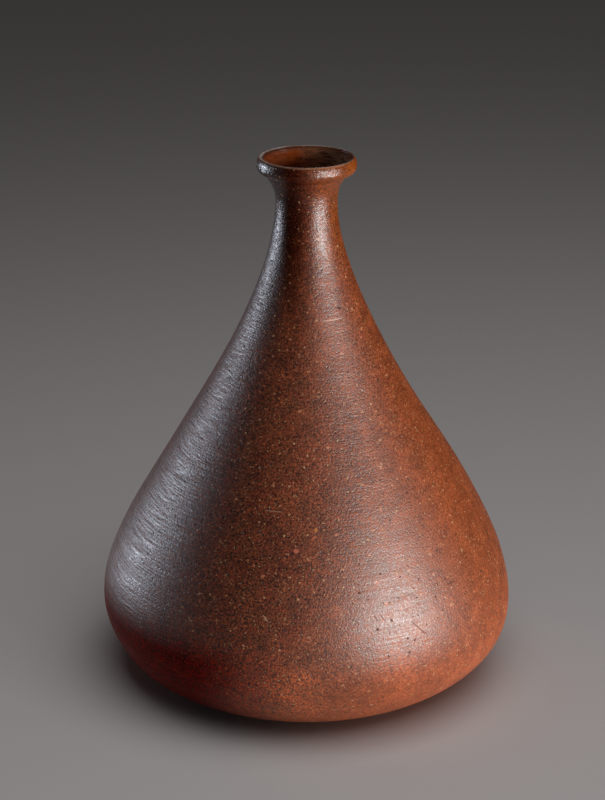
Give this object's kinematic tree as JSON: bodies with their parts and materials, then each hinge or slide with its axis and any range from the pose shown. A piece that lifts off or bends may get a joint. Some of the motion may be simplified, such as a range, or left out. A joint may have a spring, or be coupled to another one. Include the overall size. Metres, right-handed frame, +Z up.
{
  "type": "bottle vase",
  "caption": "Unglazed stoneware bottle vase with a low full belly, a long tapering shoulder, a narrow neck and a rounded collar at the mouth; stands on a flat foot and holds stems.",
  "frame": {"origin": "centre of the foot, on the surface that the vase stands on", "axes": "+Z up along the vase's axis, through the mouth; -Y faces the viewer of the picture"},
  "size_m": [0.2312, 0.2312, 0.3001],
  "materials": {
    "stoneware": "unglazed iron-rich stoneware with pale grog, fired hard to a satin sheen, dark brown to rust red"
  },
  "bodies": {
    "root": {"bottle": "stoneware"}
  },
  "joints": []
}
